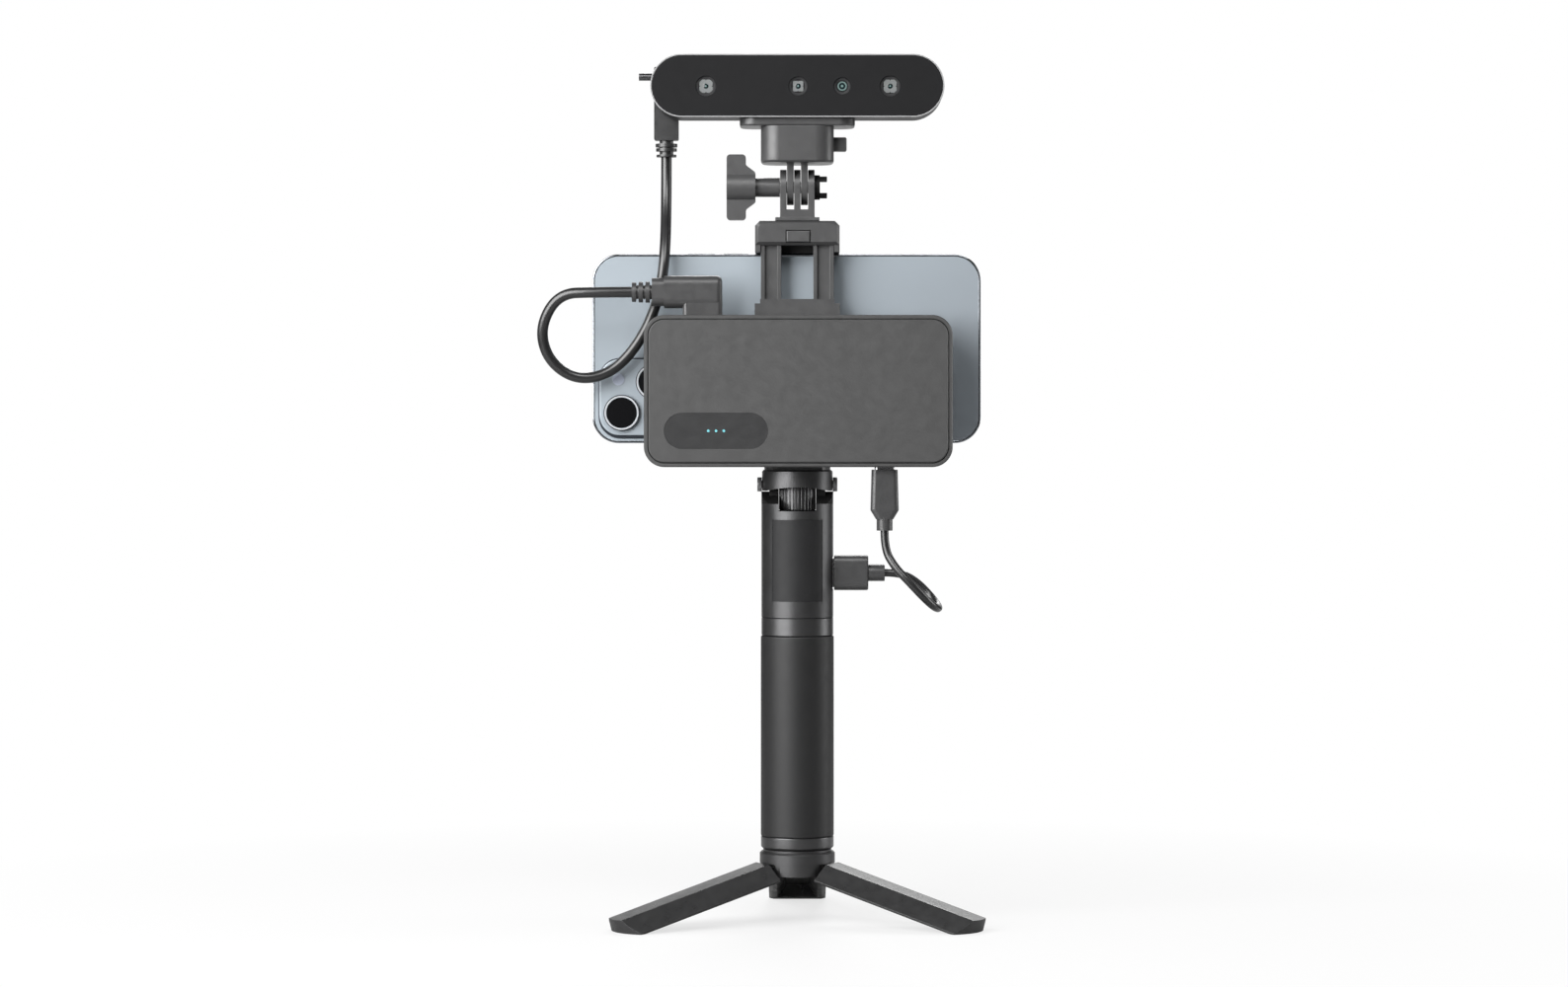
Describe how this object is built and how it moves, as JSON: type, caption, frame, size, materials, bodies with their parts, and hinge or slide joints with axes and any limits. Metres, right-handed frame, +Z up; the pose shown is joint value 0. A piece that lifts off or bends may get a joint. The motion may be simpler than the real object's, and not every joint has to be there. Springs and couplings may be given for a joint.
{
  "type": "handheld 3d scanner",
  "caption": "Handheld 3-D scanner bar on a tilting quick-release head, with a phone clamp and phone, wireless relay box, power-bank grip, folding tripod and two short leads.",
  "frame": {"origin": "the handle's axis on the plane that the three feet stand on", "axes": "+X to the right of someone who faces the lenses, +Y away from them (the phone's screen faces +Y and the lenses look along -Y), +Z up the handle"},
  "size_m": [0.1852, 0.1375, 0.3608],
  "materials": {
    "black_anodised": "satin black anodised, fine bead-blasted",
    "soft_grip": "matt soft-touch coat",
    "neck_plastic": "moulded, matt",
    "clamp_plastic": "glass-filled nylon, fine texture",
    "leg_plastic": "glass-filled nylon, satin",
    "box_plastic": "moulded, fine sandblasted texture",
    "badge_inlay": "satin inlay",
    "scanner_shell": "anodised",
    "scanner_panel": "satin black lens panel",
    "window_glass": "coated",
    "optic_black": "black optical housing",
    "frame_metal": "machined",
    "circuit_board": "solder mask",
    "cell_wrap": "shrink sleeve",
    "steel": "nickel plated",
    "dark_steel": "black oxide",
    "spring_steel": "drawn wire",
    "pad_rubber": "ribbed",
    "plug_plastic": "overmoulded",
    "lead_jacket": "smooth elastomer",
    "phone_metal": "polished flat sides",
    "phone_glass": "frosted blue-grey glass",
    "screen_glass": "dark display glass, switched off"
  },
  "bodies": {
    "handle": {"handle_tube": "black_anodised", "handle_band": "black_anodised", "grip_sleeve": "soft_grip", "bottom_cap": "black_anodised", "battery_cell": "cell_wrap", "power_board": "circuit_board", "neck_collar": "neck_plastic", "yoke_pivots": "dark_steel", "power_plug_a": "plug_plastic", "power_plug_a_shell": "steel", "power_lead": "lead_jacket", "tripod_hub": "black_anodised", "hinge_pins": "dark_steel"},
    "power_button": {"power_button": "clamp_plastic"},
    "leg_left": {"leg_left": "leg_plastic"},
    "leg_right": {"leg_right": "leg_plastic"},
    "leg_rear": {"leg_rear": "leg_plastic"},
    "holder": {"tilt_yoke": "black_anodised", "holder_body": "clamp_plastic", "lower_jaw_pad": "pad_rubber", "jaw_springs": "spring_steel", "bridge_front_cover": "box_plastic", "bridge_rear_shell": "box_plastic", "bridge_badge": "badge_inlay", "bridge_board": "circuit_board", "bridge_screws": "dark_steel", "bridge_plug": "plug_plastic", "power_plug_c": "plug_plastic", "usb_c_shells": "steel", "scanner_lead_lower": "lead_jacket"},
    "lock_wheel": {"lock_wheel": "black_anodised", "yoke_screw": "steel"},
    "phone": {"phone_frame": "phone_metal", "phone_back": "phone_glass", "phone_screen": "screen_glass"},
    "jaw": {"upper_jaw": "clamp_plastic", "upper_jaw_pad": "pad_rubber", "jaw_rails": "clamp_plastic", "finger_mount": "clamp_plastic", "finger_nut": "clamp_plastic"},
    "latch_button": {"latch_button": "clamp_plastic"},
    "thumb_screw": {"thumb_knob": "clamp_plastic", "thumb_bolt": "steel"},
    "scanner": {"head_rear_shell": "scanner_shell", "head_front_panel": "scanner_panel", "head_optics_frame": "frame_metal", "head_main_board": "circuit_board", "ir_cameras": "optic_black", "pattern_projector": "optic_black", "colour_camera": "optic_black", "optic_windows": "window_glass", "head_case_screws": "dark_steel", "shoe_plate": "clamp_plastic", "release_block": "clamp_plastic", "release_spring": "spring_steel", "head_plug": "plug_plastic", "head_plug_pin": "dark_steel", "scanner_lead_upper": "lead_jacket"},
    "release_button": {"release_button": "clamp_plastic"}
  },
  "joints": [
    {"name": "holder_tilt", "type": "hinge", "parent": "handle", "child": "holder", "pos_m": [0, 0, 0.1821], "axis": [1, 0, 0], "range_deg": [-22, 22], "deforming": ["power_lead"]},
    {"name": "lock_wheel_turn", "type": "hinge", "parent": "holder", "child": "lock_wheel", "pos_m": [0, 0, 0.176], "axis": [0, 0, 1], "continuous": true},
    {"name": "jaw_slide", "type": "slide", "parent": "holder", "child": "jaw", "axis": [0, 0, 1], "range_m": [0, 0.008], "stiffness_N_per_m": 100, "springref_m": -0.05, "deforming": ["jaw_springs", "scanner_lead_lower"]},
    {"name": "latch_press", "type": "slide", "parent": "jaw", "child": "latch_button", "axis": [0, 1, 0], "range_m": [0, 0.001], "stiffness_N_per_m": 800, "springref_m": -0.001},
    {"name": "thumb_screw_turn", "type": "hinge", "parent": "jaw", "child": "thumb_screw", "pos_m": [0, 0, 0.3062], "axis": [1, 0, 0], "continuous": true},
    {"name": "scanner_tilt", "type": "hinge", "parent": "jaw", "child": "scanner", "pos_m": [0, 0, 0.3062], "axis": [1, 0, 0], "range_deg": [-60, 60], "deforming": ["scanner_lead_upper"]},
    {"name": "release_press", "type": "slide", "parent": "scanner", "child": "release_button", "axis": [-1, 0, 0], "range_m": [0, 0.0015], "stiffness_N_per_m": 600, "springref_m": -0.002, "deforming": ["release_spring"]},
    {"name": "phone_slide_out", "type": "slide", "parent": "holder", "child": "phone", "axis": [-1, 0, 0], "range_m": [0, 0.1]},
    {"name": "power_press", "type": "slide", "parent": "handle", "child": "power_button", "axis": [0, -1, 0], "range_m": [0, 0.0006], "stiffness_N_per_m": 1000, "springref_m": -0.0005},
    {"name": "leg_left_fold", "type": "hinge", "parent": "handle", "child": "leg_left", "pos_m": [-0.00866, -0.005, 0.0224], "axis": [0.5, -0.866, 0], "range_deg": [0, 74.5]},
    {"name": "leg_right_fold", "type": "hinge", "parent": "handle", "child": "leg_right", "pos_m": [0.00866, -0.005, 0.0224], "axis": [0.5, 0.866, 0], "range_deg": [0, 74.5]},
    {"name": "leg_rear_fold", "type": "hinge", "parent": "handle", "child": "leg_rear", "pos_m": [0, 0.01, 0.0224], "axis": [-1, 0, 0], "range_deg": [0, 74.5]}
  ]
}
